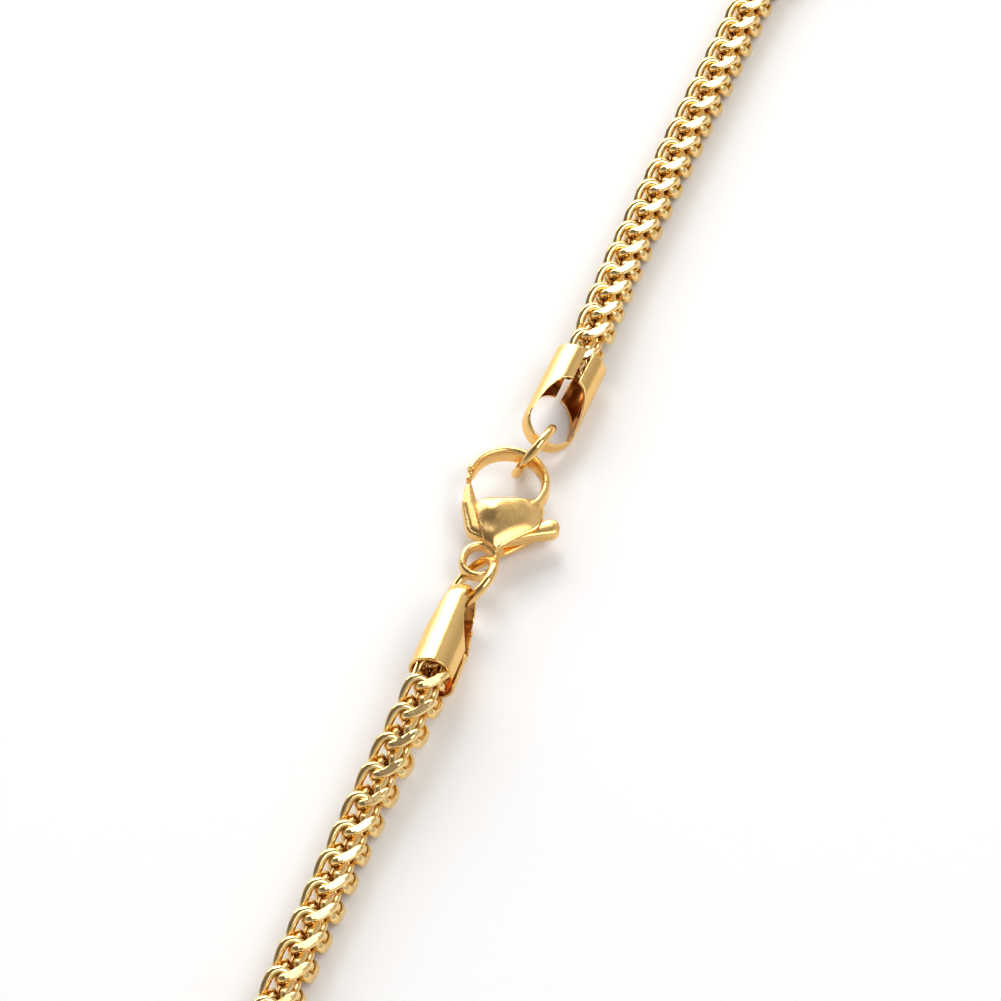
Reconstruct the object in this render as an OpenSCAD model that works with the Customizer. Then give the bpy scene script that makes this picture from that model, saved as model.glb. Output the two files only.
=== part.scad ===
// Franco chain necklace, closed and lying on a table as one long loop.
// The clasp lies at the middle of the loop's -X side, and the floor is z = 0.

/* [Loop] */
// Overall width of the loop, along X, at the chain's centre line
loop_w = 82; // [74:1:130]
// Overall length of the loop, along Y, at the chain's centre line
loop_len = 207; // [180:1:260]
// How far the long sides bow outwards
side_bow = 0.6; // [0:0.1:3]

/* [Chain] */
// Width and height of the square chain
chain_w = 3.2; // [2.6:0.1:3.6]
// Chamfer along the chain's corners
chain_bevel = 0.6; // [0.3:0.05:0.9]
// Width of the crimped chain inside the end caps
crimp_w = 2.5; // [2:0.05:2.6]
// Length of chain held inside each end cap
crimp_len = 2.2; // [1:0.1:3]
// Length over which the chain comes down from an end cap to the floor
lift_len = 16; // [8:1:30]

/* [End caps] */
// Width of an end cap's folded strip
cap_w = 3.8; // [3.7:0.05:4.4]
// Height of an end cap over its two half round shells
cap_t = 4.7; // [4.3:0.05:5]
// Thickness of the strip
cap_wall = 0.32; // [0.25:0.01:0.4]
// Length from the mouth to the centre of the bail
cap_len = 7.6; // [6.5:0.1:9]
// Length of the straight slit
slit_len = 3.4; // [2:0.1:3.8]
// Width of the slit between the two half round shells
slit_w = 0.5; // [0.3:0.05:0.7]
// How much the slit widens at the mouth, on each side
slit_flare = 0.1; // [0:0.05:0.3]
// Width of the strip at the bail
bail_w = 1.45; // [1.3:0.05:1.9]
// Place of cap a's bail along the clasp's side
cap_a_y = -13.07; // [-18.4:0.01:-10.9]
// Place of cap b's bail along the clasp's side
cap_b_y = 8.6; // [7.9:0.1:14.4]

/* [Jump rings] */
// Diameter of the rings' wire
wire_d = 0.8; // [0.6:0.05:0.85]
// Radius of a jump ring at the middle of its wire
ring_r = 2.42; // [2.38:0.01:2.46]

/* [Clasp] */
// Radius of the hook's outer rim
hook_r = 3.57; // [3.4:0.01:3.7]
// Width of the hook's band, measured from the rim inwards
hook_band = 0.7; // [0.5:0.05:0.8]
// Thickness of the hook
hook_t = 1.7; // [1.4:0.05:2]
// Thickness of the clasp's domed body at its crown
body_t = 3.1; // [2.8:0.05:3.4]
// Radius of the domed faces
dome_r = 6; // [5.5:0.1:7]
// Thickness of the lever
lever_t = 1.25; // [0.9:0.05:1.4]
// Gap on each side of the lever in its slot
slot_gap = 0.06; // [0.04:0.01:0.1]
// Diameter of the lever's pin
pin_d = 0.8; // [0.6:0.05:0.9]
// Radial clearance of the pin in the lever
pin_gap = 0.04; // [0.02:0.01:0.08]
// Depth of the eye along its hole
eye_t = 1.05; // [0.9:0.05:1.4]
// Radius of the eye's outer edge
eye_r = 1.6; // [1.4:0.01:1.65]
// Width of the eye's band
eye_band = 0.6; // [0.55:0.05:0.7]
// How much longer than wide the eye is
eye_stretch = 0.5; // [0.3:0.05:0.7]

/* [Hidden] */
$fn = 64;
eps = 0.01;

gold = "#e6b45a";

// Place of the clasp's eye beside the long side's line, and the clasp's turn, pitch and roll
eye_at = [-0.7, -7.1, 1.9];
clasp_turn = 5;
clasp_pitch = 3.2;
clasp_roll = 4;
// Centre of the clasp's hook, measured from its eye towards its tip
hook_at = [0.2, 8.25];

// Middle of the loop, moved so that the hook's rim and the far side are as far from x = 0
hook_reach = hook_r - eye_at[0] - hook_at[0] * cos(clasp_turn) + hook_at[1] * sin(clasp_turn);
loop_x = (hook_reach - side_bow - chain_w / 2) / 2;
side_x = loop_x - loop_w / 2;
end_r = loop_w / 2;
straight = loop_len / 2 - end_r;
turn_len = PI * end_r;
perimeter = 4 * straight + 2 * turn_len;
chain_z = chain_w / 2;

// Turn of each cap about Z, its pitch and roll, and its mouth's place beside the long side's line
cap_a_turn = 3;
cap_a_pitch = -4;
cap_a_roll = -8;
cap_a_off = 0.725;
mouth_a_y = cap_a_y - cap_len * cos(cap_a_pitch);
mouth_a_z = cap_t / 2 - cap_len * sin(cap_a_pitch) + 0.1;
cap_b_turn = 178.6;
cap_b_pitch = -1.5;
cap_b_roll = 63;
cap_b_off = 0.566;
mouth_b_y = cap_b_y + cap_len * cos(cap_b_pitch);
mouth_b_z = cap_t / 2;

ring_step = 8;
n_rings = ceil((perimeter / 2 - abs(mouth_a_y)) / ring_step);

// Point of the loop's centre line at a distance s from the middle of the clasp's side
function bow(y) = side_bow * (1 - pow(y / straight, 2));
function on_loop(s) =
    s < straight ? [side_x - bow(s), -s]
    : s < straight + turn_len ?
        let (a = (s - straight) / end_r * 180 / PI)
            [loop_x - end_r * cos(a), -straight - end_r * sin(a)]
    : s < 3 * straight + turn_len ?
        let (y = s - 2 * straight - turn_len) [loop_x + end_r + bow(y), y]
    : s < 3 * straight + 2 * turn_len ?
        let (a = (s - 3 * straight - turn_len) / end_r * 180 / PI)
            [loop_x + end_r * cos(a), straight + end_r * sin(a)]
    : let (y = perimeter - s) [side_x - bow(y), y];
// Heading of the centre line, in degrees from +X
function heading(s) = let (d = on_loop(s + 0.5) - on_loop(s - 0.5)) atan2(d[1], d[0]);
// Height of the chain: on the floor, and rising to the end caps
function ease(t) = t <= 0 ? 1 : t >= 1 ? 0 : (1 + cos(180 * t)) / 2;
function height(s) = chain_z
    + (mouth_a_z - chain_z) * ease((s - abs(mouth_a_y)) / lift_len)
    + (mouth_b_z - chain_z) * ease((perimeter - mouth_b_y - s) / lift_len);
// Sideways shift of the chain, which runs straight into each cap
function shift(s) = cap_a_off * ease((s - abs(mouth_a_y)) / lift_len)
    + cap_b_off * ease((perimeter - mouth_b_y - s) / lift_len);
// Corners of the chamfered square, half as wide as w
function octagon(w, c) =
    let (h = w / 2, k = w / 2 - c)
    [[h, -k], [h, k], [k, h], [-k, h], [-h, k], [-h, -k], [-k, -h], [k, -h]];
// One ring of the tube: its section set across the heading a at point p
function ring(p, a, w, c) = [for (q = octagon(w, c)) p + [q[0] * sin(a), -q[0] * cos(a), q[1]]];
function chain_ring(s) =
    let (p = on_loop(s)) ring([p[0] + shift(s), p[1], height(s)], heading(s), chain_w, chain_bevel);
mouth_a = [side_x - bow(mouth_a_y) + cap_a_off, mouth_a_y, mouth_a_z];
mouth_b = [side_x - bow(mouth_b_y) + cap_b_off, mouth_b_y, mouth_b_z];
// A ring of the crimped end, a distance d into a cap with that turn and pitch
function crimp_ring(mouth, turn, pitch, d, way) =
    ring(mouth + d * [-sin(turn) * cos(pitch), cos(turn) * cos(pitch), sin(pitch)],
         turn + 90 + way, crimp_w, chain_bevel * 0.8);

// A tube swept through rings of eight points each
module swept(rings) {
    n = len(rings);
    polyhedron(
        points = [for (r = rings) each r],
        faces = concat(
            [[for (k = [0 : 7]) k]],
            [for (i = [0 : n - 2], k = [0 : 7])
                [8 * i + k, 8 * (i + 1) + k, 8 * (i + 1) + (k + 1) % 8, 8 * i + (k + 1) % 8]],
            [[for (k = [7 : -1 : 0]) 8 * (n - 1) + k]]
        ),
        convexity = 10
    );
}

crimp_taper = 1.6;

// Half of the chain, from cap a round the lower end to the middle of the far side
module chain_a() {
    s0 = abs(mouth_a_y) + crimp_taper;
    step = (perimeter / 2 - s0) / n_rings;
    color(gold) swept(concat(
        [crimp_ring(mouth_a, cap_a_turn, cap_a_pitch, crimp_len, 180),
         crimp_ring(mouth_a, cap_a_turn, cap_a_pitch, -0.1, 180)],
        [for (i = [0 : n_rings]) chain_ring(s0 + i * step)]
    ));
}

// The other half, from the middle of the far side round the upper end to cap b
module chain_b() {
    s1 = perimeter - mouth_b_y - crimp_taper;
    step = (s1 - perimeter / 2) / n_rings;
    color(gold) swept(concat(
        [for (i = [0 : n_rings]) chain_ring(perimeter / 2 + i * step)],
        [crimp_ring(mouth_b, cap_b_turn, cap_b_pitch, -0.1, 0),
         crimp_ring(mouth_b, cap_b_turn, cap_b_pitch, crimp_len, 0)]
    ));
}

shell_r = cap_w / 2;
shell_off = cap_t / 2 - shell_r;
hole_r = cap_t / 2 - cap_wall;

// Section of the folded strip's two round sides
module shell_section() {
    for (side = [-1, 1]) translate([0, side * shell_off]) difference() {
        circle(r = shell_r);
        circle(r = shell_r - cap_wall);
        translate([-cap_w, side > 0 ? -2 * cap_w : 0]) square([2 * cap_w, 2 * cap_w]);
    }
}

// Flat edges of the strip, from its round sides towards the slit
module shell_edges() {
    foot = slit_w / 4;
    for (x = [-shell_r, shell_r - cap_wall], z = [-shell_off, foot])
        translate([x, 0, z]) cube([cap_wall, cap_len, shell_off - foot]);
}

// Side view of what is open: the slit, and the arch that it widens into towards the bail
module side_opening() {
    half = slit_w / 2;
    rise = [for (i = [0 : 12]) let (a = 90 * i / 12)
        [cap_len - (cap_len - slit_len) * cos(a), half + (hole_r - half) * sin(a)]];
    polygon(concat(
        [[-1, -half - slit_flare], [-1, half + slit_flare]], rise,
        [for (i = [12 : -1 : 0]) [rise[i][0], -rise[i][1]]]
    ));
    translate([cap_len, 0]) circle(r = hole_r);
}

// End cap with its mouth at the origin and its bail towards +Y
module end_cap() {
    difference() {
        union() {
            rotate([-90, 0, 0]) linear_extrude(height = cap_len) shell_section();
            shell_edges();
        }
        rotate([90, 0, 90]) linear_extrude(height = 2 * cap_w, center = true) side_opening();
    }
    translate([0, cap_len, 0]) rotate([0, 90, 0]) rotate_extrude(angle = 180) intersection() {
        translate([shell_off, 0]) circle(r = shell_r);
        translate([hole_r, -bail_w / 2]) square([cap_wall + eps, bail_w]);
    }
}

// The lower cap, which lies on one of its shells
module end_cap_a() {
    color(gold) translate(mouth_a) rotate([cap_a_pitch, 0, cap_a_turn])
        rotate([0, cap_a_roll, 0]) end_cap();
}

// The upper cap, rolled so that its slit looks up
module end_cap_b() {
    color(gold) translate(mouth_b) rotate([cap_b_pitch, 0, cap_b_turn])
        rotate([0, cap_b_roll, 0]) end_cap();
}

// Round wire ring with its axis along Z
module jump_ring() {
    rotate_extrude() translate([ring_r, 0]) circle(d = wire_d, $fn = 32);
}

// Centre of each ring beside the long side's line, its tilt and turn
ring_a_at = [-0.37, -9.64, 2.2];
ring_a_turn = [0, 46.5, 178];
ring_b_at = [-0.29, 5.11, 2.64];
ring_b_turn = [0, 66.3, 168.5];

module jump_ring_a() {
    color(gold) translate([side_x, 0, 0] + ring_a_at) rotate(ring_a_turn) jump_ring();
}

module jump_ring_b() {
    color(gold) translate([side_x, 0, 0] + ring_b_at) rotate(ring_b_turn) jump_ring();
}

// Two circles joined by their tangents, in plan
module capsule(p, rp, q, rq) {
    v = q - p;
    a = atan2(v[1], v[0]);
    b = acos((rp - rq) / norm(v));
    translate(p) circle(r = rp);
    translate(q) circle(r = rq);
    polygon([
        p + rp * [cos(a + b), sin(a + b)], q + rq * [cos(a + b), sin(a + b)],
        q + rq * [cos(a - b), sin(a - b)], p + rp * [cos(a - b), sin(a - b)]
    ]);
}

// Plan of the clasp, with the eye's centre at the origin and the hook towards +Y
left_lobe = [-0.75, 4.95];
left_lobe_r = 0.95;
right_lobe = [2.35, 4.8];
right_lobe_r = 1.65;
shoulder_at = [3.05, 6.1];
shoulder_r = 0.9;
root_at = [0.7, 1.7];
root_r = 0.75;
pin_at = [0.8, 2.65];
boss_r = 0.8;
elbow_at = [-1, 3.1];
elbow_r = 0.95;
cheek_at = [-2.25, 5.2];
cheek_r = 0.65;
tip_at = [-2.75, 6.85];
tip_r = 0.3;
neck_at = [3.2, 3.75];
neck_r = 0.52;
thumb_at = [4.8, 4.85];
thumb_r = 0.8;
hook_end = 177;
tongue_end = 193;
tongue_t = 0.9;
tongue_band = 0.5;
hook_start = -48;
slot_low = 1.72;
slot_high = 7.2;
slot_right = 1.3;
slot_shelf = 5.3;
slot_t = lever_t + 2 * slot_gap;
pin_bite = 0.3;

// Heading of the outside of two circles' common tangent, going round counter-clockwise
function tangent_angle(p, rp, q, rq) =
    let (v = q - p) atan2(v[1], v[0]) - acos((rp - rq) / norm(v));
// Points of the rounded corner at circle q, between its neighbours p and n
function corner(p, rp, q, rq, n, rn) =
    let (a = tangent_angle(p, rp, q, rq), b = tangent_angle(q, rq, n, rn), turn = (b - a + 720) % 360)
    [for (i = [0 : 10]) q + rq * [cos(a + turn * i / 10), sin(a + turn * i / 10)]];
// Where the tangents on the inside of a bend at circle q meet
function notch(p, rp, q, rq, n, rn) =
    let (
        a = tangent_angle(p, rp, q, rq), b = tangent_angle(q, rq, n, rn),
        da = q[0] * cos(a) + q[1] * sin(a) + rq, db = q[0] * cos(b) + q[1] * sin(b) + rq
    )
    [da * sin(b) - db * sin(a), db * cos(a) - da * cos(b)] / sin(b - a);

module body_outline() {
    polygon(concat(
        corner(shoulder_at, shoulder_r, left_lobe, left_lobe_r, root_at, root_r),
        corner(left_lobe, left_lobe_r, root_at, root_r, right_lobe, right_lobe_r),
        corner(root_at, root_r, right_lobe, right_lobe_r, shoulder_at, shoulder_r),
        corner(right_lobe, right_lobe_r, shoulder_at, shoulder_r, left_lobe, left_lobe_r)
    ));
}

// Lens with the body's two domed faces
module lens() {
    rotate_extrude($fn = 96) intersection() {
        translate([0, body_t / 2 - dome_r]) circle(r = dome_r);
        translate([0, dome_r - body_t / 2]) circle(r = dome_r);
        translate([0, -body_t]) square([dome_r, 2 * body_t]);
    }
}

module domed_body() {
    crown = (left_lobe + 2 * right_lobe + root_at) / 4;
    intersection() {
        linear_extrude(height = body_t + 1, center = true) body_outline();
        translate([crown[0], crown[1], 0]) lens();
    }
}

// Section of a flat band that is rounded along both rims
module band_section(band, thick) {
    square([band, thick - band], center = true);
    for (side = [-1, 1]) translate([0, side * (thick - band) / 2]) circle(d = band, $fn = 32);
}

// Band of the hook between two headings
module hook_arc(from, to, band, thick) {
    translate([hook_at[0], hook_at[1], 0]) rotate([0, 0, from]) rotate_extrude(angle = to - from)
        translate([hook_r - hook_band / 2, 0]) band_section(band, thick);
}

// Oval eye of the same rounded band
module eye() {
    r = eye_r - eye_band / 2;
    for (side = [-1, 1]) {
        translate([0, side * eye_stretch / 2, 0]) rotate([0, 0, side > 0 ? 0 : 180])
            rotate_extrude(angle = 180) translate([r, 0]) band_section(eye_band, eye_t);
        translate([side * r, 0, 0]) rotate([90, 0, 0])
            linear_extrude(height = eye_stretch, center = true) band_section(eye_band, eye_t);
    }
}

// Space kept open inside the eye
module eye_hole() {
    half = [0, eye_stretch / 2];
    r = eye_r - eye_band / 2;
    linear_extrude(height = eye_t + 1, center = true) capsule(-half, r, half, r);
}

module clasp_place() {
    translate([side_x + eye_at[0], eye_at[1], eye_at[2]]) rotate([clasp_pitch, 0, clasp_turn])
        rotate([0, clasp_roll, 0]) children();
}

module clasp_body() {
    color(gold) clasp_place() difference() {
        union() {
            difference() {
                union() {
                    domed_body();
                    hook_arc(hook_start, hook_end, hook_band, hook_t);
                    hook_arc(hook_end - 2, tongue_end, tongue_band, tongue_t);
                }
                eye_hole();
            }
            eye();
        }
        linear_extrude(height = slot_t, center = true) polygon([
            [-5, slot_low], [8, slot_low], [8, slot_shelf],
            [slot_right, slot_shelf], [slot_right, slot_high], [-5, slot_high]
        ]);
        translate([pin_at[0], pin_at[1], -slot_t / 2 - pin_bite - pin_gap])
            cylinder(d = pin_d + 2 * pin_gap, h = slot_t + 2 * (pin_bite + pin_gap), $fn = 32);
    }
}

module clasp_lever() {
    color(gold) clasp_place() difference() {
        linear_extrude(height = lever_t, center = true) polygon(concat(
            corner(cheek_at, cheek_r, tip_at, tip_r, cheek_at, cheek_r),
            corner(tip_at, tip_r, cheek_at, cheek_r, elbow_at, elbow_r),
            corner(cheek_at, cheek_r, elbow_at, elbow_r, pin_at, boss_r),
            corner(elbow_at, elbow_r, pin_at, boss_r, neck_at, neck_r),
            [notch(pin_at, boss_r, neck_at, neck_r, thumb_at, thumb_r)],
            corner(neck_at, neck_r, thumb_at, thumb_r, neck_at, neck_r),
            [notch(thumb_at, thumb_r, neck_at, neck_r, pin_at, boss_r),
             notch(neck_at, neck_r, pin_at, boss_r, elbow_at, elbow_r),
             notch(pin_at, boss_r, elbow_at, elbow_r, cheek_at, cheek_r),
             notch(elbow_at, elbow_r, cheek_at, cheek_r, tip_at, tip_r)]
        ));
        translate([pin_at[0], pin_at[1], -lever_t])
            cylinder(d = pin_d + 2 * pin_gap, h = 2 * lever_t, $fn = 32);
    }
}

module clasp_pin() {
    color(gold) clasp_place() translate([pin_at[0], pin_at[1], 0])
        cylinder(d = pin_d, h = slot_t + 2 * pin_bite, center = true, $fn = 32);
}

chain_a();
chain_b();
end_cap_a();
end_cap_b();
jump_ring_a();
jump_ring_b();
clasp_body();
clasp_lever();
clasp_pin();
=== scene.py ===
"""Looks of the franco chain necklace: its links, its clasp, its gold plate and a white table."""
import math
from collections import namedtuple

import bmesh
import bpy
import numpy as np
from bpy.props import FloatProperty, FloatVectorProperty, IntProperty, PointerProperty
from mathutils import Matrix, Vector


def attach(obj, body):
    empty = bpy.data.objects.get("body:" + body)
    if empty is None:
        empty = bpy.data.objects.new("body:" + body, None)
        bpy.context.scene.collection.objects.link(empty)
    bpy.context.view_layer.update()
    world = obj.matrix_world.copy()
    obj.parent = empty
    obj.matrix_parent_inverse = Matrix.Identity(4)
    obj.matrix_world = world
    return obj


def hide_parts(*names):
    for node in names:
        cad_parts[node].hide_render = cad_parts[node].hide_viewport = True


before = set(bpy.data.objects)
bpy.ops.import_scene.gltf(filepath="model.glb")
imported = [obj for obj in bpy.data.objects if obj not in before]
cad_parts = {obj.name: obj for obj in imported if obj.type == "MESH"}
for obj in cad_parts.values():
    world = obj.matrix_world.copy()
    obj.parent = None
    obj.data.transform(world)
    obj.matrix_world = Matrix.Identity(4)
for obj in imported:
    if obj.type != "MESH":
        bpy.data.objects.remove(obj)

bl_info = {
    "name": "Franco Chain Necklace",
    "version": (1, 0, 0),
    "blender": (4, 5, 0),
    "location": "3D View > Sidebar > Necklace",
    "description": "Dresses a franco chain necklace with links, a lobster clasp and polished gold",
    "category": "Object",
}

MM = 0.001
ROOT = "necklace"
LEVER = "lever"

# The route of the chain, in millimetres, as the model has it
LOOP_W = 82.0
LOOP_LEN = 207.0
LOOP_X = 1.2949
SIDE_X = LOOP_X - LOOP_W / 2
SIDE_BOW = 0.6
END_R = LOOP_W / 2
STRAIGHT = LOOP_LEN / 2 - END_R
TURN_LEN = math.pi * END_R
PERIMETER = 4 * STRAIGHT + 2 * TURN_LEN
CHAIN_Z = 1.6
LIFT_LEN = 16.0

# An end cap: how far its mouth is from the clasp's middle, beside the chain's line and over the table,
# and its turn, pitch and roll in degrees
Cap = namedtuple("Cap", "y off z turn pitch roll")
CAP_LEN = 7.6
CAP_R = 1.9
CAP_OFF = 0.45
CAP_WALL = 0.32
CAP_HOLE = 2.03
CAP_A = Cap(y=-13.07 - CAP_LEN * math.cos(math.radians(-4.0)), off=0.725,
            z=2.45 - CAP_LEN * math.sin(math.radians(-4.0)), turn=3.0, pitch=-4.0, roll=-8.0)
CAP_B = Cap(y=8.6 + CAP_LEN * math.cos(math.radians(-1.5)), off=0.566,
            z=2.35, turn=178.6, pitch=-1.5, roll=63.0)
CAPS = {"a": CAP_A, "b": CAP_B}

# The painted shade inside a cap, a browner tone on its inner walls where little light reaches: how soon
# it fades in, and how far past the bail's middle it goes
INNER_FADE = 0.08
INNER_PAST = 0.9

# The crimp of a cap on its last links: its length and taper, and how small and close it squeezes them
CRIMP_LEN = 2.2
CRIMP_TAPER = 1.6
CRIMP_PLAY = 0.4
CRIMP_FADE = 2.4
CRIMP_SCALE = 0.78
CRIMP_CLOSE = 0.2

# The chain's route has this many points, and a link's direction is taken over this stretch of it
ROUTE_POINTS = 640
LOOK_AHEAD = 0.4

# The links: room at the chain's two ends, how far apart they lie at the first end and how much less at
# the last, as shares of the pitch, and how far along the clasp's side the photograph shows them
END_ROOM = 0.25
FIRST_SPACING = 1.04
LESS_SPACING = 0.09
SHOWN_Y = 78.0
PLAIN_STEPS = 16
PLAIN_SIDES = 5

# Half of a link's wire, as given: x and y across the chain, z along it
LINK_BEND = [
    (-0.33, -0.33, -0.20), (-0.80, -0.22, -0.25), (-1.12, 0.00, 0.10), (-1.33, 0.35, 0.70),
    (-1.20, 0.80, 1.25), (-0.93, 1.10, 1.60), (-0.60, 1.10, 2.00), (-0.25, 0.85, 2.20),
    (0.00, 0.50, 1.90), (0.15, 0.34, 1.20),
]
HALF_TURN = np.array((-1, -1, 1))

# How the bent link is eased: its points, the rounds of easing, when its pull to the bend weakens, the
# room between two wires as a share of the wire, and the strengths of its pushes and pulls
BEND_POINTS = 72
BEND_ROUNDS = 900
BEND_WEAKENS = 400
BEND_PLAY = 1.03
PUSH_OTHERS = 0.15
PUSH_ITSELF = 0.12
EVENING = 0.02
FIRST_PULL = 0.004
LAST_PULL = 0.001
STIFFNESS = 0.35
LONGEST_STEP = 0.05
WIRE_GAP = 0.012

# The painted shade between the links, a browner tone towards the chain's middle where the links shade
# each other: how near the chain's middle it starts and how soon it fades in
LINK_INNER = 0.62
LINK_FADE = 2.2

# The clasp's eye, its turn, pitch and roll in degrees, and in plan its body's lobes and lever's joints
EYE_AT = (SIDE_X - 0.7, -7.1, 1.9)
CLASP_TURN = 5.0
CLASP_PITCH = 3.2
CLASP_ROLL = 4.0
LOBES = (((-0.75, 4.95), 0.95), ((0.7, 1.7), 0.75), ((2.35, 4.8), 1.65), ((3.05, 6.1), 0.9))
LEVER_SPINE = (((-2.75, 6.85), 0.3), ((-2.25, 5.2), 0.65), ((-1.0, 3.1), 0.95), ((0.8, 2.65), 0.8),
               ((3.2, 3.75), 0.52), ((4.8, 4.85), 0.8))
BODY_T = 3.1
DOME_R = 6.0
SLOT_H = 0.685

# The faces of the clasp's body, as heights over its slot: the face and its ball, the flank that falls
# to the right, the rounded left edge, and the soft creases between them
FACE_H = 0.60
FACE_MIDDLE = 1.2
FACE_FALL = 0.05
BALL_AT = (-0.15, 4.7)
BALL_SPREAD = 1.15
BALL_H = 0.36
FLANK_WAY = (0.78, -0.62)
FLANK_H = 0.10
FLANK_SLOPE = 0.42
EDGE_W = 0.95
EDGE_H = 1.05
FLANK_CREASE = 0.16
EDGE_CREASE = 0.22
LEAST_H = 0.08

# Where the body is solid from face to face, and the hook's root, which keeps its cast shape
SOLID_FROM = (1.35, 5.35)
ROOT_AT = (3.2, 6.9)
ROOT_SPREAD = 0.9

# Rounds of smoothing for the cast pieces, before and after they are shaped
BODY_ROUNDS = (8, 7)
LEVER_ROUNDS = (5, 2)
CAP_ROUNDS = 4

# The lever's crown, as shares of its thickness, and the groove along its left arm
CROWN_EDGE = 0.62
GROOVE_DEPTH = 0.11
GROOVE_AT = 0.66
GROOVE_WIDTH = 0.1
ARM_END = -0.4

# Jump rings: centre, tilt and turn in degrees
RINGS = {
    "jump_ring_a": ((SIDE_X - 0.37, -9.64, 2.2), 46.5, 178.0),
    "jump_ring_b": ((SIDE_X - 0.29, 5.11, 2.64), 66.3, 168.5),
}
RING_STEPS = 120
RING_SIDES = 24

# Each finish's roughness and the strength of its polishing marks
FINISHES = {
    "polished_links": (0.15, 0.25),
    "polished_clasp": (0.23, 0.06),
    "polished_caps": (0.2, 0.06),
    "polished_rings": (0.1, 0.12),
}

# The table: half its width and how far it lies under the necklace, in metres
TABLE_HALF = 1.2
TABLE_DROP = 0.00002

# The camera: its direction in degrees, its distance in metres, and its lens for the photograph's frame
VIEW_TURN = 20
VIEW_HEIGHT = 50
VIEW_FAR = 0.4
VIEW_AT = (SIDE_X - 1.4, 0, 1.5)
FILM_W = 36
FRAME_W = 1001
LENS_PIXELS = 4800

# The soft lights round the clasp: direction, width and height in metres, and brightness
PANEL_FAR = 0.9
PANELS = {
    "panel_high": ((-0.36, 0.66, 0.66), (0.42, 0.50), 4.9),
    "panel_low": ((-0.30, 0.86, 0.42), (0.80, 0.36), 2.6),
    "panel_left": ((-0.76, 0.54, 0.36), (0.45, 0.5), 2.7),
    "panel_right": ((0.50, -0.10, 0.86), (0.5, 0.5), 3.2),
}

# The room: its darkest side, and its tones from square to that side and on towards it
ROOM_DARK = (-0.35, -0.20, 0.91)
ROOM_TONES = (
    (0.0, (0.52, 0.50, 0.48)),
    (0.42, (0.71, 0.71, 0.71)),
    (0.66, (0.34, 0.33, 0.325)),
    (0.9, (0.17, 0.15, 0.14)),
)


class ChainSizes(bpy.types.PropertyGroup):
    """Sizes of the chain's links"""

    width: FloatProperty(
        name="Chain width", description="Width over the diamond-cut faces",
        default=3.19 * MM, min=2 * MM, max=5 * MM, unit="LENGTH", precision=5)
    wire: FloatProperty(
        name="Wire", description="Diameter of a link's wire before its faces are cut",
        default=0.82 * MM, min=0.3 * MM, max=1.2 * MM, unit="LENGTH", precision=5)
    pitch: FloatProperty(
        name="Pitch", description="Length of chain from one link to the next on the same corner",
        default=2.83 * MM, min=1.5 * MM, max=5 * MM, unit="LENGTH", precision=5)
    cut: FloatProperty(
        name="Cut depth", description="How far the wire stood out before its faces were cut",
        default=0.24 * MM, min=0, max=0.3 * MM, unit="LENGTH", precision=5)
    sides: IntProperty(
        name="Wire sides", description="Faces round the wire", default=12, min=5, max=24)
    steps: IntProperty(
        name="Wire steps", description="Faces along a link's wire", default=56, min=10, max=96)


class FindingSizes(bpy.types.PropertyGroup):
    """Sizes of the clasp, rings and end caps that the model leaves to the finish"""

    ring_radius: FloatProperty(
        name="Ring radius", description="Radius of a jump ring at the middle of its wire",
        default=2.42 * MM, min=1 * MM, max=4 * MM, unit="LENGTH", precision=5)
    ring_wire: FloatProperty(
        name="Ring wire", description="Diameter of a jump ring's wire",
        default=0.8 * MM, min=0.3 * MM, max=1.2 * MM, unit="LENGTH", precision=5)
    grain: FloatProperty(
        name="Casting grain", description="Size of the steps in which edges are rounded off",
        default=0.07 * MM, min=0.04 * MM, max=0.3 * MM, unit="LENGTH", precision=5)


class GoldLook(bpy.types.PropertyGroup):
    """Colours of the plate and the table, with a painted shade for the insides and a lighter painted
    copy of the plate for the links
    """

    plate: FloatVectorProperty(
        name="Plate", description="Colour of the polished gold plate",
        default=(0.93, 0.61, 0.235), min=0, max=1, subtype="COLOR")
    # Painted light: the links' colour is the plate painted a little lighter, standing in for the
    # brighter light on the chain
    links: FloatVectorProperty(
        name="Links", description="Colour of the links, the plate painted a little lighter for the light on the chain",
        default=(0.98, 0.735, 0.345), min=0, max=1, subtype="COLOR")
    deep: FloatVectorProperty(
        name="Deep plate", description="Colour of the plate where it is thicker and redder",
        default=(0.87, 0.52, 0.16), min=0, max=1, subtype="COLOR")
    # Painted shade: a browner colour put inside the caps and between the links, where they shade each
    # other
    inner: FloatVectorProperty(
        name="Inside shade", description="Colour of the painted shade inside caps and between links",
        default=(0.42, 0.16, 0.035), min=0, max=1, subtype="COLOR")
    table: FloatVectorProperty(
        name="Table", description="Colour of the table", default=(0.96, 0.96, 0.96),
        min=0, max=1, subtype="COLOR")


def add_node(tree, kind, **values):
    """A new node in the tree, with the inputs of these names set."""
    node = tree.nodes.new(kind)
    for name, value in values.items():
        node.inputs[name].default_value = value
    return node


def mix_colours(tree, factor, first, second):
    """A node that mixes two colours, each of which is a colour or a node's output."""
    node = tree.nodes.new("ShaderNodeMix")
    node.data_type = "RGBA"
    tree.links.new(factor, node.inputs["Factor"])
    for name, given in (("A", first), ("B", second)):
        if isinstance(given, bpy.types.NodeSocket):
            tree.links.new(given, node.inputs[name])
        else:
            node.inputs[name].default_value = (*given, 1.0)
    return node


def map_range(tree, value, **limits):
    """A node that maps a value, with its limits as from_min, from_max, to_min and to_max."""
    node = tree.nodes.new("ShaderNodeMapRange")
    for name, limit in limits.items():
        node.inputs[name.replace("_", " ").title()].default_value = limit
    tree.links.new(value, node.inputs["Value"])
    return node


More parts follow.
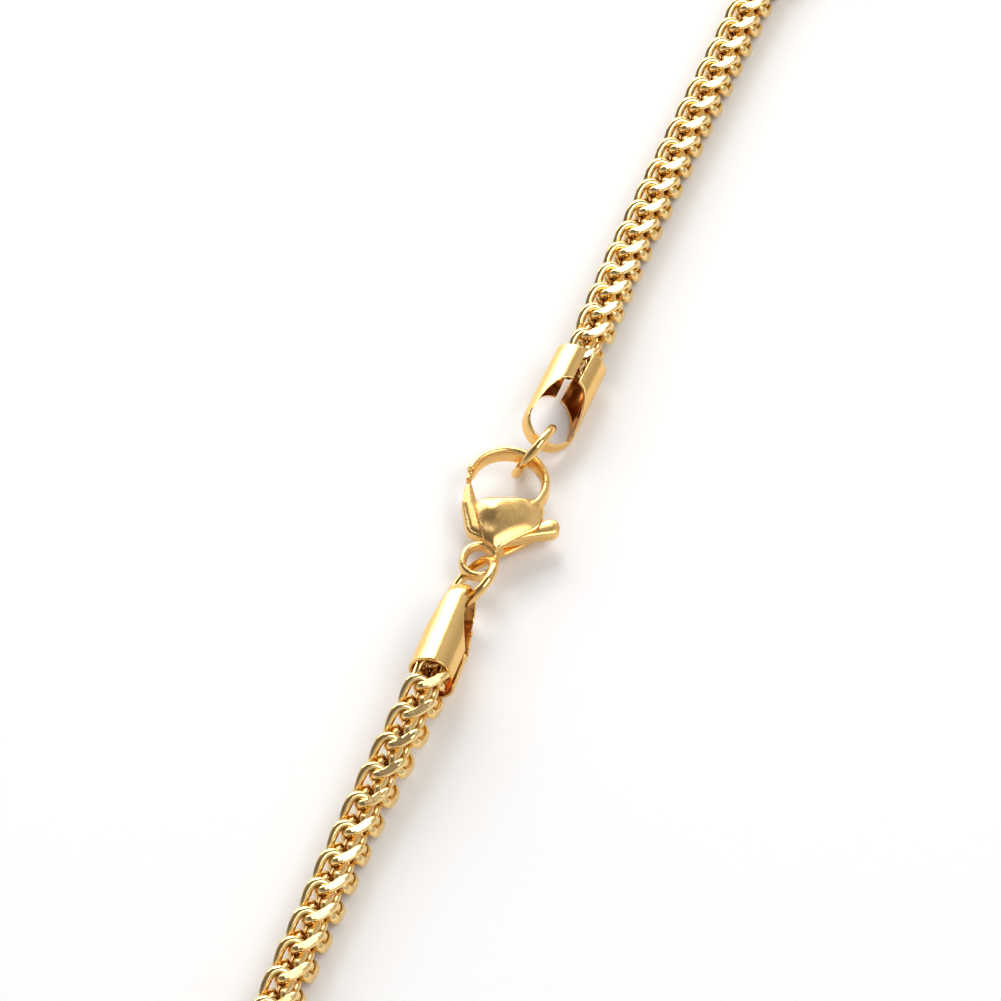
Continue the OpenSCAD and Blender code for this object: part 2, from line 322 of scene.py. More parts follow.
def gold(name, colour, roughness, detail):
    """Polished gold plate with faint clouds in its colour and gloss, fine polishing marks, and painted
    shade where the mesh says it lies inside.
    """
    look = bpy.context.scene.gold_look
    mat = bpy.data.materials.new(name)
    mat.use_nodes = True
    tree = mat.node_tree
    links = tree.links
    shader = tree.nodes["Principled BSDF"]
    shader.inputs["Metallic"].default_value = 1.0
    shader.inputs["Specular Tint"].default_value = (1.0, 0.93, 0.75, 1.0)
    coord = tree.nodes.new("ShaderNodeTexCoord")
    clouds = add_node(tree, "ShaderNodeTexNoise", Scale=420.0, Detail=3.0)
    links.new(coord.outputs["Object"], clouds.inputs["Vector"])
    share = map_range(tree, clouds.outputs["Fac"], from_min=0.4, from_max=0.75, to_max=0.45)
    tone = mix_colours(tree, share.outputs["Result"], colour, look.deep)
    # Painted shade: the inside colour is mixed in by the share that the mesh marks as inside caps and
    # between links
    shade_share = tree.nodes.new("ShaderNodeAttribute")
    shade_share.attribute_name = "inside"
    shade = mix_colours(tree, shade_share.outputs["Fac"], tone.outputs["Result"], look.inner)
    links.new(shade.outputs["Result"], shader.inputs["Base Color"])
    marks = add_node(tree, "ShaderNodeTexNoise", Scale=2600.0, Detail=4.0, Roughness=0.6)
    links.new(coord.outputs["Object"], marks.inputs["Vector"])
    gloss = map_range(tree, marks.outputs["Fac"], to_min=roughness * 0.7, to_max=roughness * 1.5)
    links.new(gloss.outputs["Result"], shader.inputs["Roughness"])
    bump = add_node(tree, "ShaderNodeBump", Strength=detail, Distance=0.02 * MM)
    links.new(marks.outputs["Fac"], bump.inputs["Height"])
    links.new(bump.outputs["Normal"], shader.inputs["Normal"])
    return mat


def material(name, colour):
    """The named finish, made the first time it is asked for."""
    return bpy.data.materials.get(name) or gold(name, colour, *FINISHES[name])


def mark_inside(mesh, values):
    """Says for each point of the mesh how far it lies inside, from 0 to 1, which sets its share of
    painted shade.
    """
    inside = mesh.attributes.get("inside") or mesh.attributes.new("inside", "FLOAT", "POINT")
    inside.data.foreach_set("value", np.clip(values, 0, 1).astype(np.float32))


def points_of(mesh):
    """The mesh's points as an array in millimetres."""
    flat = np.empty(len(mesh.vertices) * 3)
    mesh.vertices.foreach_get("co", flat)
    return flat.reshape(-1, 3) / MM


def smooth_mesh(name, verts, faces):
    """A mesh of these points and faces, shaded smooth."""
    mesh = bpy.data.meshes.new(name)
    mesh.from_pydata(verts, [], faces)
    mesh.polygons.foreach_set("use_smooth", [True] * len(faces))
    return mesh


def link_to_scene(name, mesh):
    """An object of this mesh, put in the scene."""
    piece = bpy.data.objects.new(name, mesh)
    bpy.context.scene.collection.objects.link(piece)
    return piece


def plain_mesh(piece):
    """The mesh of a piece with its modifiers worked out."""
    bpy.context.view_layer.update()
    made = bpy.data.meshes.new_from_object(piece.evaluated_get(bpy.context.evaluated_depsgraph_get()))
    if not made.polygons:
        raise RuntimeError(piece.name + " came out empty")
    return made


def tube_faces(around, sides):
    """Faces of a closed tube whose points go round its section first and then along it."""
    faces = []
    for i in range(around):
        for k in range(sides):
            j, m = (i + 1) % around, (k + 1) % sides
            faces.append((i * sides + k, j * sides + k, j * sides + m, i * sides + m))
    return faces


def stand_at(place, turn, pitch, roll):
    """Rolls a piece about Y, tips it about X, turns it about Z and sets it at its place."""
    stand = Matrix.Translation(place) @ Matrix.Rotation(math.radians(turn), 4, "Z")
    stand = stand @ Matrix.Rotation(math.radians(pitch), 4, "X")
    return stand @ Matrix.Rotation(math.radians(roll), 4, "Y")


def bow(y):
    """How far a long side stands out from straight."""
    return SIDE_BOW * (1 - (y / STRAIGHT) ** 2)


def ease(t):
    """Falls softly from 1 at 0 to 0 at 1."""
    return 1.0 if t <= 0 else 0.0 if t >= 1 else (1 + math.cos(math.pi * t)) / 2


def mouth(cap):
    """The middle of a cap's mouth."""
    return np.array([SIDE_X - bow(cap.y) + cap.off, cap.y, cap.z])


def on_loop(s):
    """Point of the chain's centre line at a distance s from the middle of the clasp's side."""
    if s < STRAIGHT:
        x, y = SIDE_X - bow(s), -s
    elif s < STRAIGHT + TURN_LEN:
        a = (s - STRAIGHT) / END_R
        x, y = LOOP_X - END_R * math.cos(a), -STRAIGHT - END_R * math.sin(a)
    elif s < 3 * STRAIGHT + TURN_LEN:
        y = s - 2 * STRAIGHT - TURN_LEN
        x = LOOP_X + END_R + bow(y)
    elif s < 3 * STRAIGHT + 2 * TURN_LEN:
        a = (s - 3 * STRAIGHT - TURN_LEN) / END_R
        x, y = LOOP_X + END_R * math.cos(a), STRAIGHT + END_R * math.sin(a)
    else:
        y = PERIMETER - s
        x = SIDE_X - bow(y)
    near_a = ease((s + CAP_A.y) / LIFT_LEN)
    near_b = ease((PERIMETER - CAP_B.y - s) / LIFT_LEN)
    z = CHAIN_Z + (CAP_A.z - CHAIN_Z) * near_a + (CAP_B.z - CHAIN_Z) * near_b
    return (x + CAP_A.off * near_a + CAP_B.off * near_b, y, z)


def heading(turn, pitch):
    """The way that something along Y points after this turn and pitch, in degrees."""
    turn, pitch = math.radians(turn), math.radians(pitch)
    flat = math.cos(pitch)
    return np.array([-math.sin(turn) * flat, math.cos(turn) * flat, math.sin(pitch)])


def chain_route():
    """The chain's centre line as a fine row of points, from inside cap a to inside cap b."""
    start = -CAP_A.y + CRIMP_TAPER
    end = PERIMETER - CAP_B.y - CRIMP_TAPER
    into_a, into_b = (heading(cap.turn, cap.pitch) for cap in (CAP_A, CAP_B))
    lip = 0.1
    points = [mouth(CAP_A) + CRIMP_LEN * into_a, mouth(CAP_A) - lip * into_a]
    points += [np.array(on_loop(s)) for s in np.linspace(start, end, ROUTE_POINTS)]
    points += [mouth(CAP_B) - lip * into_b, mouth(CAP_B) + CRIMP_LEN * into_b]
    return np.array(points)


def point_at(distance, length, row):
    """The point of an open row at a distance along it, where length holds each point's own distance."""
    return np.array([np.interp(distance, length, row[:, k]) for k in range(3)])


def closed_row(points, count):
    """The closed row of points, spaced evenly."""
    steps = np.linalg.norm(np.diff(np.vstack([points, points[:1]]), axis=0), axis=1)
    length = np.r_[0, np.cumsum(steps)]
    at = np.linspace(0, length[-1], count + 1)[:-1]
    return np.stack([np.interp(at, length, np.r_[points[:, k], points[0, k]]) for k in range(3)], 1)


def turned(row, quarter):
    """The row turned by quarter turns about the chain."""
    for _ in range(quarter % 4):
        row = np.stack([row[:, 1], -row[:, 0], row[:, 2]], 1)
    return row


def stiff(row):
    """The closed row with its sharpest kinks eased, as stiff wire holds itself."""
    waves = 4 * np.sin(np.pi * np.fft.rfftfreq(len(row))) ** 2
    bends = np.fft.rfft(row, axis=0) / (1 + STIFFNESS * waves ** 2)[:, None]
    return np.fft.irfft(bends, len(row), axis=0)


def shove(gap, clear):
    """How far each gap between two wires has to open until they are clear, along the gap."""
    size = np.linalg.norm(gap, axis=2)
    return (np.clip(clear - size, 0, None) / np.maximum(size, 1e-6))[:, :, None] * gap


def neighbour(row, k, pitch):
    """The link that lies k links further along: a quarter turn and half a pitch on for each."""
    return turned(row, k) + (0, 0, pitch / 2 * k)


def link_wire(width, wire, pitch, cut):
    """Centre line of one link, eased until its neighbours pass clear, and its clearance all along."""
    half = np.array(LINK_BEND)
    row = closed_row(np.vstack([half, half * HALF_TURN]), BEND_POINTS)
    goal = row.copy()
    count = len(row)
    edge = width / 2 - wire / 2 + cut
    apart = np.abs(np.arange(count)[:, None] - np.arange(count)[None])
    apart = np.minimum(apart, count - apart) > 10
    for step in range(BEND_ROUNDS):
        push = np.zeros_like(row)
        for k in (1, 2, 3):
            gap = row[:, None] - neighbour(row, k, pitch)[None]
            force = shove(gap, wire * BEND_PLAY) * PUSH_OTHERS
            push += force.sum(1) - turned(force.sum(0), 4 - k)
        push += (shove(row[:, None] - row[None], wire) * apart[:, :, None]).sum(1) * PUSH_ITSELF
        push += EVENING * (np.roll(row, 1, 0) + np.roll(row, -1, 0) - 2 * row)
        push += (FIRST_PULL if step < BEND_WEAKENS else LAST_PULL) * (goal - row)
        row = stiff(row + np.clip(push, -LONGEST_STEP, LONGEST_STEP))
        row[:, :2] = np.clip(row[:, :2], -edge, edge)
        halves = (row[: count // 2] + row[count // 2:] * HALF_TURN) / 2
        row = np.vstack([halves, halves * HALF_TURN])
        if step % 10 == 0:
            row = closed_row(row, count)
    room = np.full(count, np.inf)
    for k in (-3, -2, -1, 1, 2, 3):
        gap = row[:, None] - neighbour(row, k, pitch)[None]
        room = np.minimum(room, np.linalg.norm(gap, axis=2).min(1))
    return row, room


def wire_mesh(name, row, radius, sides, face):
    """A closed wire along the row, with everything past the chain's four faces cut off flat."""
    count = len(row)
    along = np.roll(row, -1, 0) - np.roll(row, 1, 0)
    along /= np.linalg.norm(along, axis=1)[:, None]
    first = np.cross(along[0], (0, 0, 1.0))
    across = [first / np.linalg.norm(first)]
    for i in list(range(1, count)) + [0]:
        side = across[-1] - along[i] * np.dot(across[-1], along[i])
        across.append(side / np.linalg.norm(side))
    slip = math.atan2(np.dot(across[-1], np.cross(along[0], across[0])), np.dot(across[-1], across[0]))
    verts = []
    for i in range(count):
        a = across[i]
        b = np.cross(along[i], a)
        for k in range(sides):
            turn = 2 * math.pi * k / sides - slip * i / count
            verts.append(row[i] + radius[i] * (math.cos(turn) * a + math.sin(turn) * b))
    verts = np.array(verts)
    verts[:, 0] *= -1
    verts[:, :2] = np.clip(verts[:, :2], -face, face)
    mesh = smooth_mesh(name, (verts * MM).tolist(), [quad[::-1] for quad in tube_faces(count, sides)])
    cut = []
    for poly in mesh.polygons:
        corner = verts[list(poly.vertices)]
        flat = [(np.abs(corner[:, k] - side) < 1e-6).all() for k in (0, 1) for side in (-face, face)]
        cut.append(any(flat))
    owners = {}
    for poly in mesh.polygons:
        for key in poly.edge_keys:
            owners.setdefault(key, []).append(cut[poly.index])
    sharp = mesh.attributes.new("sharp_edge", "BOOLEAN", "EDGE")
    for edge in mesh.edges:
        sharp.data[edge.index].value = len(set(owners.get(edge.key, [True]))) == 2
    # Paints shade on the wire towards the chain's middle, where the links shade each other
    mark_inside(mesh, (LINK_INNER - np.abs(verts[:, :2]).max(1) / face) * LINK_FADE)
    mesh.update()
    return mesh


def bent_link(name, row, radius, steps, sides, face):
    """One link as an object, whose wire has that many steps and sides."""
    spaced = closed_row(row, steps)
    nearest = np.linalg.norm(spaced[:, None] - row[None], axis=2).argmin(1)
    return link_to_scene(name, wire_mesh(name, spaced, radius[nearest], sides, face))


def repeat_tree():
    """Node tree that sets a copy of a link on each point, turned and sized as the point says."""
    tree = bpy.data.node_groups.new("Links along a route", "GeometryNodeTree")
    face = tree.interface
    face.new_socket("Geometry", in_out="INPUT", socket_type="NodeSocketGeometry")
    face.new_socket("Link", in_out="INPUT", socket_type="NodeSocketObject")
    size = face.new_socket("Link Size", in_out="INPUT", socket_type="NodeSocketFloat")
    size.default_value = 1.0
    face.new_socket("Plate", in_out="INPUT", socket_type="NodeSocketMaterial")
    face.new_socket("Geometry", in_out="OUTPUT", socket_type="NodeSocketGeometry")
    nodes, wires = tree.nodes, tree.links
    given = nodes.new("NodeGroupInput")
    result = nodes.new("NodeGroupOutput")
    link = nodes.new("GeometryNodeObjectInfo")
    turn = nodes.new("GeometryNodeInputNamedAttribute")
    turn.data_type = "FLOAT_VECTOR"
    turn.inputs["Name"].default_value = "link_turn"
    euler = nodes.new("FunctionNodeEulerToRotation")
    grow = nodes.new("GeometryNodeInputNamedAttribute")
    grow.data_type = "FLOAT"
    grow.inputs["Name"].default_value = "link_size"
    times = nodes.new("ShaderNodeMath")
    times.operation = "MULTIPLY"
    place = nodes.new("GeometryNodeInstanceOnPoints")
    real = nodes.new("GeometryNodeRealizeInstances")
    plate = nodes.new("GeometryNodeSetMaterial")
    wires.new(given.outputs["Link"], link.inputs["Object"])
    wires.new(given.outputs["Geometry"], place.inputs["Points"])
    wires.new(link.outputs["Geometry"], place.inputs["Instance"])
    wires.new(turn.outputs["Attribute"], euler.inputs["Euler"])
    wires.new(euler.outputs["Rotation"], place.inputs["Rotation"])
    wires.new(grow.outputs["Attribute"], times.inputs[0])
    wires.new(given.outputs["Link Size"], times.inputs[1])
    wires.new(times.outputs["Value"], place.inputs["Scale"])
    wires.new(place.outputs["Instances"], real.inputs["Geometry"])
    wires.new(real.outputs["Geometry"], plate.inputs["Geometry"])
    wires.new(given.outputs["Plate"], plate.inputs["Material"])
    wires.new(plate.outputs["Geometry"], result.inputs["Geometry"])
    return tree


def place_links(name, places, link, plate):
    """One plain mesh of the link at each place, where a place is a point, a turn and a size."""
    mesh = bpy.data.meshes.new(name + "_points")
    mesh.from_pydata([p[0] for p in places], [], [])
    mesh.attributes.new("link_turn", "FLOAT_VECTOR", "POINT")
    mesh.attributes.new("link_size", "FLOAT", "POINT")
    mesh.attributes["link_turn"].data.foreach_set("vector", [v for p in places for v in p[1]])
    mesh.attributes["link_size"].data.foreach_set("value", [p[2] for p in places])
    maker = link_to_scene(name + "_maker", mesh)
    tree = bpy.data.node_groups.get("Links along a route") or repeat_tree()
    repeat = maker.modifiers.new("Links", "NODES")
    repeat.node_group = tree
    ids = {s.name: s.identifier for s in tree.interface.items_tree if s.in_out == "INPUT"}
    repeat[ids["Link"]] = link
    repeat[ids["Link Size"]] = 1.0
    repeat[ids["Plate"]] = plate
    maker.update_tag()
    made = plain_mesh(maker)
    made.name = name
    bpy.data.objects.remove(maker)
    return link_to_scene(name, made)


def lay_links(route, pitch):
    """Each link's place along the route, as lists of point, turn and size for each half and reach."""
    steps = np.linalg.norm(np.diff(route, axis=0), axis=1)
    length = np.r_[0, np.cumsum(steps)]
    total = length[-1]
    at, spots, count = END_ROOM, {}, 0
    while at < total - END_ROOM:
        offs = (0, LOOK_AHEAD, -LOOK_AHEAD)
        point, ahead, behind = (point_at(at + off, length, route) for off in offs)
        z = (behind - ahead) / np.linalg.norm(behind - ahead)
        y = np.array([0, 0, 1.0]) - z * z[2]
        y /= np.linalg.norm(y)
        x = np.cross(y, z)
        stand = Matrix(((x[0], y[0], z[0]), (x[1], y[1], z[1]), (x[2], y[2], z[2])))
        stand = stand @ Matrix.Rotation(-math.pi / 2 * (count % 4), 3, "Z")
        tight = max(ease((s - CRIMP_LEN + CRIMP_PLAY) / CRIMP_FADE) for s in (at, total - at))
        shown = point[0] < 0 and abs(point[1]) < SHOWN_Y
        key = ("near" if shown else "far", "a" if at < total / 2 else "b")
        spot = (tuple(point * MM), tuple(stand.to_euler()), 1 - (1 - CRIMP_SCALE) * tight)
        spots.setdefault(key, []).append(spot)
        spacing = FIRST_SPACING - LESS_SPACING * at / total
        at += pitch / 2 * spacing * (1 - CRIMP_CLOSE * tight)
        count += 1
    return spots


class NECKLACE_OT_links(bpy.types.Operator):
    """Lays the chain's links along its route"""

    bl_idname = "necklace.links"
    bl_label = "Chain Links"

    def execute(self, context):
        sizes = context.scene.chain_sizes
        width, wire, pitch, cut = (v / MM for v in (sizes.width, sizes.wire, sizes.pitch, sizes.cut))
        row, room = link_wire(width, wire, pitch, cut)
        radius = np.minimum(wire / 2, room / 2 - WIRE_GAP)
        radius = np.minimum(radius, (np.roll(radius, 1) + radius + np.roll(radius, -1)) / 3)
        # The links get the plate painted lighter, as painted light on the chain
        plate = material("polished_links", context.scene.gold_look.links)
        fine = bent_link("link_fine", row, radius, sizes.steps, sizes.sides, width / 2)
        plain = bent_link("link_plain", row, radius, PLAIN_STEPS, PLAIN_SIDES, width / 2)
        for (reach, half), spots in lay_links(chain_route(), pitch).items():
            link = fine if reach == "near" else plain
            piece = place_links(f"links_{reach}_{half}", spots, link, plate)
            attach(piece, ROOT)
            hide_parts("chain_" + half)
        bpy.data.objects.remove(fine)
        bpy.data.objects.remove(plain)
        return {"FINISHED"}


def cast_copy(node, name, grain, rounds):
    """A copy of a model node with all its edges rounded off, as cast and tumbled metal has them."""
    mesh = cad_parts[node].data.copy()
    mesh.name = name
    mesh.transform(Matrix.Scale(1 / MM, 4))
    work = bmesh.new()
    work.from_mesh(mesh)
    bmesh.ops.remove_doubles(work, verts=work.verts, dist=0.0005)
    work.to_mesh(mesh)
    work.free()
    piece = link_to_scene(name, mesh)
    voxels = piece.modifiers.new("Grain", "REMESH")
    voxels.mode = "VOXEL"
    voxels.voxel_size = grain / MM
    voxels.use_smooth_shade = True
    soften = piece.modifiers.new("Tumble", "SMOOTH")
    soften.factor = 0.5
    soften.iterations = rounds
    made = plain_mesh(piece)
    piece.modifiers.clear()
    piece.data = made
    made.transform(Matrix.Scale(MM, 4))
    made.name = name
    return piece


def clasp_frame():
    """The clasp's own frame, with its eye at the origin and its hook towards +Y, in millimetres."""
    return np.array(stand_at(EYE_AT, CLASP_TURN, CLASP_PITCH, CLASP_ROLL))


def cap_frame(cap):
    """A cap's own frame, with its mouth at the origin and its bail towards +Y, in millimetres."""
    return np.array(stand_at(mouth(cap), cap.turn, cap.pitch, cap.roll))


def to_frame(points, stand):
    """Points of the scene as a frame has them."""
    return (points - stand[:3, 3]) @ stand[:3, :3]


def from_frame(points, stand):
    """Points of a frame as the scene has them."""
    return points @ stand[:3, :3].T + stand[:3, 3]


def move_points(piece, points, stand):
    """Gives a piece's points new places, in a frame."""
    piece.data.vertices.foreach_set("co", (from_frame(points, stand) * MM).ravel())
    piece.data.update()


def lobed_outline():
    """Outline of the clasp's body in plan: the lobes and their common tangents, as a row of points."""
    row = []
    for i in range(len(LOBES)):
        (p, rp), (q, rq), (n, rn) = LOBES[i - 1], LOBES[i], LOBES[(i + 1) % len(LOBES)]
        turns = []
        for (u, ru), (v, rv) in (((p, rp), (q, rq)), ((q, rq), (n, rn))):
            step = np.subtract(v, u)
            turns.append(math.atan2(step[1], step[0]) - math.acos((ru - rv) / np.linalg.norm(step)))
        sweep = (turns[1] - turns[0]) % (2 * math.pi)
        for k in range(13):
            a = turns[0] + sweep * k / 12
            row.append((q[0] + rq * math.cos(a), q[1] + rq * math.sin(a)))
    return np.array(row)


def depth_inside(points, row, facing=None, least=-1.0):
    """How far each point lies inside a convex outline that runs counter-clockwise.

    Only the sides count whose outward direction agrees with the one faced by at least that much.
    """
    depth = np.full(len(points), 99.0)
    for u, v in zip(row, np.roll(row, -1, 0)):
        step = v - u
        size = np.linalg.norm(step)
        if size < 1e-6 or facing is not None and np.dot((step[1], -step[0]), facing) / size < least:
            continue
        depth = np.minimum(depth, ((points - u) @ np.array((-step[1], step[0]))) / size)
    return depth


def blend_low(a, b, width):
    """The lower of two heights, with a soft crease between them."""
    return (a + b - np.sqrt((a - b) ** 2 + width ** 2)) / 2


def dome_height(plan):
    """Height of the solid's domed face over each point in plan."""
    centre = (np.array(LOBES[0][0]) + 2 * np.array(LOBES[2][0]) + np.array(LOBES[1][0])) / 4
    away = np.clip(((plan - centre) ** 2).sum(1), 0, 30)
    return np.sqrt(DOME_R ** 2 - away) - DOME_R + BODY_T / 2


def face_height(plan, right, left):
    """Height of the finished face over the slot at each point in plan."""
    x, y = plan.T
    ball = np.exp(-((x - BALL_AT[0]) ** 2 + (y - BALL_AT[1]) ** 2) / BALL_SPREAD)
    face = FACE_H + BALL_H * ball - FACE_FALL * (x - FACE_MIDDLE) ** 2
    flank = FLANK_H + FLANK_SLOPE * np.clip(right, 0, 3)
    edge = EDGE_H * np.sqrt(1 - (1 - np.clip(left / EDGE_W, 0, 1)) ** 2)
    return blend_low(blend_low(face, flank, FLANK_CREASE), edge, EDGE_CREASE)


def swell_body(piece):
    """Shapes the clasp's two faces: a ball beside the lever, a flank, and a rounded edge."""
    stand = clasp_frame()
    points = to_frame(points_of(piece.data), stand)
    x, y, z = points.T
    plan = points[:, :2]
    row = lobed_outline()
    right = depth_inside(plan, row, FLANK_WAY, 0.3)
    left = depth_inside(plan, row, (-FLANK_WAY[0], -FLANK_WAY[1]), -0.3)
    wanted = SLOT_H + np.clip(face_height(plan, right, left), LEAST_H, None)
    cast = dome_height(plan)
    solid = (y > SOLID_FROM[1]) & (x > SOLID_FROM[0])
    over = np.clip(np.abs(z) - SLOT_H, 0, None)
    carved = SLOT_H + over * np.clip((wanted - SLOT_H) / np.clip(cast - SLOT_H, 0.1, None), 0.2, 2.2)
    shaped = np.where(solid, np.abs(z) * np.clip(wanted / cast, 0.7, 1.7), carved)
    share = np.clip(depth_inside(plan, row) / 0.15, 0, 1)
    share *= np.where(solid, 1, np.clip(over / 0.05, 0, 1))
    share *= 1 - np.exp(-((x - ROOT_AT[0]) ** 2 + (y - ROOT_AT[1]) ** 2) / ROOT_SPREAD)
    points[:, 2] = np.sign(z) * (share * shaped + (1 - share) * np.abs(z))
    move_points(piece, points, stand)


def crown_lever(piece):
    """Rounds the lever's flat faces off from its spine, with a fine groove along its left arm."""
    stand = clasp_frame()
    points = to_frame(points_of(piece.data), stand)
    plan = points[:, :2]
    reach = np.full(len(points), np.inf)
    for (p, rp), (q, rq) in zip(LEVER_SPINE, LEVER_SPINE[1:]):
        step = np.subtract(q, p)
        t = np.clip((plan - p) @ step / (step @ step), 0, 1)
        away = np.linalg.norm(plan - p - t[:, None] * step, axis=1)
        reach = np.minimum(reach, away / (rp + t * (rq - rp)))
    crown = CROWN_EDGE + (1 - CROWN_EDGE) * np.sqrt(1 - np.clip(reach, 0, 1) ** 2)
    arm = 1 / (1 + np.exp((points[:, 0] - ARM_END) * 6))
    groove = GROOVE_DEPTH * arm * np.exp(-((reach - GROOVE_AT) / GROOVE_WIDTH) ** 2)
    points[:, 2] *= crown - groove * (np.abs(points[:, 2]) > 0.2)
    move_points(piece, points, stand)


def even_out(piece, rounds):
    """Smooths a piece's surface."""
    work = bmesh.new()
    work.from_mesh(piece.data)
    for _ in range(rounds):
        bmesh.ops.smooth_vert(
            work, verts=work.verts, factor=0.5, use_axis_x=True, use_axis_y=True, use_axis_z=True)
    work.to_mesh(piece.data)
    work.free()


def dress(piece, body, node, plate):
    """Gives a finished piece its plate and its body, and hides the model's node that it stands for."""
    piece.data.materials.clear()
    piece.data.materials.append(plate)
    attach(piece, body)
    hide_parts(node)


class NECKLACE_OT_clasp(bpy.types.Operator):
    """Makes the lobster clasp's body and lever, and gives its rivet the plate"""

    bl_idname = "necklace.clasp"
    bl_label = "Lobster Clasp"

    def execute(self, context):
        sizes = context.scene.finding_sizes
        plate = material("polished_clasp", context.scene.gold_look.plate)
        body = cast_copy("clasp_body", "clasp_body_cast", sizes.grain, BODY_ROUNDS[0])
        swell_body(body)
        even_out(body, BODY_ROUNDS[1])
        dress(body, ROOT, "clasp_body", plate)
        lever = cast_copy("clasp_lever", "clasp_lever_cast", sizes.grain, LEVER_ROUNDS[0])
        crown_lever(lever)
        even_out(lever, LEVER_ROUNDS[1])
        dress(lever, LEVER, "clasp_lever", plate)
        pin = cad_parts["clasp_pin"]
        pin.data.materials.clear()
        pin.data.materials.append(plate)
        return {"FINISHED"}


class NECKLACE_OT_caps(bpy.types.Operator):
    """Makes the two folded end caps"""

    bl_idname = "necklace.caps"
    bl_label = "End Caps"

    def execute(self, context):
        sizes = context.scene.finding_sizes
        plate = material("polished_caps", context.scene.gold_look.plate)
        for half, cap in CAPS.items():
            strip = cast_copy("end_cap_" + half, f"end_cap_{half}_strip", sizes.grain, CAP_ROUNDS)
            x, y, z = to_frame(points_of(strip.data), cap_frame(cap)).T
            shell = np.hypot(x, np.clip(np.abs(z) - CAP_OFF, 0, None)) - (CAP_R - CAP_WALL / 2)
            bail = np.hypot(y - CAP_LEN, z) - (CAP_HOLE + CAP_WALL / 2)
            outside = np.where(y > CAP_LEN, bail, shell)
            # Paints shade inside the cap: the browner inside colour on its inner walls and bail, where
            # little light reaches
            mark_inside(strip.data, -outside / INNER_FADE * (y < CAP_LEN + INNER_PAST))
            dress(strip, ROOT, "end_cap_" + half, plate)
        return {"FINISHED"}


class NECKLACE_OT_rings(bpy.types.Operator):
    """Makes the two jump rings"""

    bl_idname = "necklace.rings"
    bl_label = "Jump Rings"

    def execute(self, context):
        sizes = context.scene.finding_sizes
        plate = material("polished_rings", context.scene.gold_look.plate)
        for name, (centre, tilt, turn) in RINGS.items():
            stand = stand_at(Vector(centre) * MM, turn, 0, tilt)
            verts = []
            for i in range(RING_STEPS):
                a = 2 * math.pi * i / RING_STEPS
                for k in range(RING_SIDES):
                    b = 2 * math.pi * k / RING_SIDES
                    r = sizes.ring_radius + sizes.ring_wire / 2 * math.cos(b)
                    z = sizes.ring_wire / 2 * math.sin(b)
                    verts.append(stand @ Vector((r * math.cos(a), r * math.sin(a), z)))
            mesh = smooth_mesh(name + "_wire", verts, tube_faces(RING_STEPS, RING_SIDES))
            dress(link_to_scene(name + "_wire", mesh), ROOT, name, plate)
        return {"FINISHED"}


def soft_box(name, direction, size, glow):
    """A large soft light that faces the clasp."""
    light = bpy.data.lights.new(name, "AREA")
    light.shape = "RECTANGLE"
    light.size, light.size_y = size
    light.energy = math.pi * size[0] * size[1] * glow
    lamp = bpy.data.objects.new(name, light)
    aim = Vector((SIDE_X * MM, 0, 0))
    lamp.location = aim + Vector(direction).normalized() * PANEL_FAR
    lamp.rotation_euler = (aim - lamp.location).to_track_quat("-Z", "Y").to_euler()
    bpy.context.scene.collection.objects.link(lamp)


def set_camera(scene):
    """Looks at the clasp from the photograph's angle."""
    forward = Vector(heading(VIEW_TURN, -VIEW_HEIGHT))
    camera = bpy.data.cameras.new("camera")
    camera.sensor_width = FILM_W
    camera.lens = FILM_W * LENS_PIXELS / FRAME_W
    camera.clip_start = 0.01
    camera.clip_end = 10
    view = bpy.data.objects.new("camera", camera)
    view.location = Vector(VIEW_AT) * MM - forward * VIEW_FAR
    view.rotation_euler = forward.to_track_quat("-Z", "Y").to_euler()
    scene.collection.objects.link(view)
    scene.camera = view


def set_table(colour):
    """Lays the white table, a hair under the necklace."""
    mesh = bpy.data.meshes.new("table")
    corners = [(x * TABLE_HALF, y * TABLE_HALF, 0) for x, y in ((-1, -1), (1, -1), (1, 1), (-1, 1))]
    mesh.from_pydata(corners, [], [(0, 1, 2, 3)])
    table = link_to_scene("table", mesh)
    table.location.z = -TABLE_DROP
    finish = bpy.data.materials.new("white_table")
    finish.use_nodes = True
    tree = finish.node_tree
    shader = tree.nodes["Principled BSDF"]
    shader.inputs["Roughness"].default_value = 0.6
    coord = tree.nodes.new("ShaderNodeTexCoord")
    grain = add_node(tree, "ShaderNodeTexNoise", Scale=900.0)
    tree.links.new(coord.outputs["Object"], grain.inputs["Vector"])
    tone = mix_colours(tree, grain.outputs["Fac"], colour * 0.99, colour)
    tree.links.new(tone.outputs["Result"], shader.inputs["Base Color"])
    mesh.materials.append(finish)


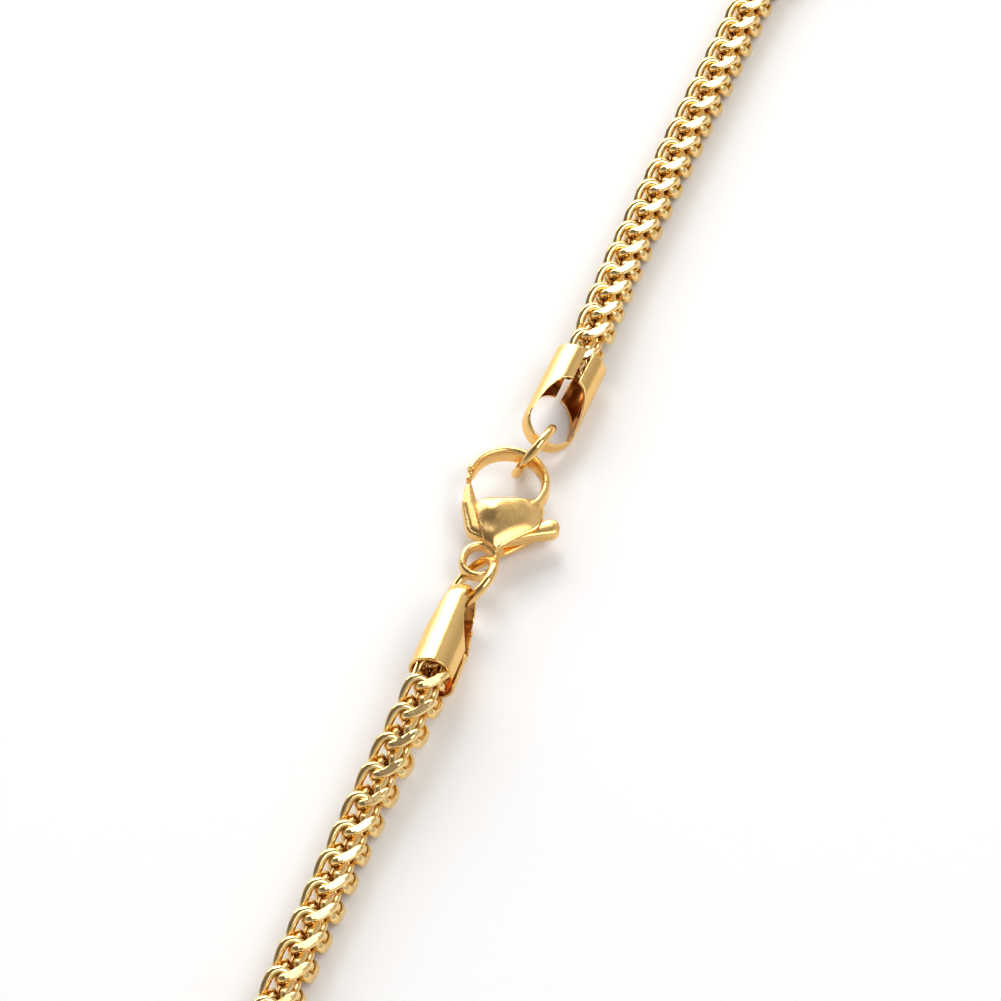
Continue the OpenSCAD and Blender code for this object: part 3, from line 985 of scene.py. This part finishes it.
def set_room(scene):
    """Makes the room's soft tones, which the gold mirrors."""
    world = bpy.data.worlds.new("room")
    world.use_nodes = True
    scene.world = world
    tree = world.node_tree
    coord = tree.nodes.new("ShaderNodeTexCoord")
    aim = tree.nodes.new("ShaderNodeVectorMath")
    aim.operation = "DOT_PRODUCT"
    aim.inputs[1].default_value = Vector(ROOM_DARK).normalized()
    tree.links.new(coord.outputs["Generated"], aim.inputs[0])
    ramp = tree.nodes.new("ShaderNodeValToRGB")
    elements = ramp.color_ramp.elements
    while len(elements) < len(ROOM_TONES):
        elements.new(0.5)
    for element, (place, tone) in zip(elements, ROOM_TONES):
        element.position = place
        element.color = (*tone, 1)
    tree.links.new(aim.outputs["Value"], ramp.inputs["Fac"])
    tree.links.new(ramp.outputs["Color"], tree.nodes["Background"].inputs["Color"])


class NECKLACE_OT_stage(bpy.types.Operator):
    """Sets the camera, the white table and the lights"""

    bl_idname = "necklace.stage"
    bl_label = "Table, Camera and Lights"

    def execute(self, context):
        scene = context.scene
        scene.view_settings.view_transform = "Standard"
        set_camera(scene)
        set_table(Vector(scene.gold_look.table))
        set_room(scene)
        for name, (direction, size, glow) in PANELS.items():
            soft_box(name, direction, size, glow)
        return {"FINISHED"}


class NECKLACE_PT_panel(bpy.types.Panel):
    """Lists the necklace's pieces"""

    bl_idname = "NECKLACE_PT_panel"
    bl_label = "Necklace"
    bl_space_type = "VIEW_3D"
    bl_region_type = "UI"
    bl_category = "Necklace"

    def draw(self, context):
        for group in ("chain_sizes", "finding_sizes", "gold_look"):
            box = self.layout.box()
            settings = getattr(context.scene, group)
            for name in settings.bl_rna.properties.keys():
                if name not in ("rna_type", "name"):
                    box.prop(settings, name)
        for operator in OPERATORS:
            self.layout.operator(operator.bl_idname)


OPERATORS = (
    NECKLACE_OT_stage,
    NECKLACE_OT_links,
    NECKLACE_OT_caps,
    NECKLACE_OT_rings,
    NECKLACE_OT_clasp,
)
CLASSES = (ChainSizes, FindingSizes, GoldLook, *OPERATORS, NECKLACE_PT_panel)


def register():
    for cls in CLASSES:
        bpy.utils.register_class(cls)
    bpy.types.Scene.chain_sizes = PointerProperty(type=ChainSizes)
    bpy.types.Scene.finding_sizes = PointerProperty(type=FindingSizes)
    bpy.types.Scene.gold_look = PointerProperty(type=GoldLook)


def unregister():
    del bpy.types.Scene.gold_look
    del bpy.types.Scene.finding_sizes
    del bpy.types.Scene.chain_sizes
    for cls in reversed(CLASSES):
        bpy.utils.unregister_class(cls)


def main():
    """Makes the whole scene."""
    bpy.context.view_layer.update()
    register()
    bpy.ops.necklace.stage()
    bpy.ops.necklace.links()
    bpy.ops.necklace.caps()
    bpy.ops.necklace.rings()
    bpy.ops.necklace.clasp()
    bpy.context.view_layer.update()


if __name__ == "__main__":
    main()
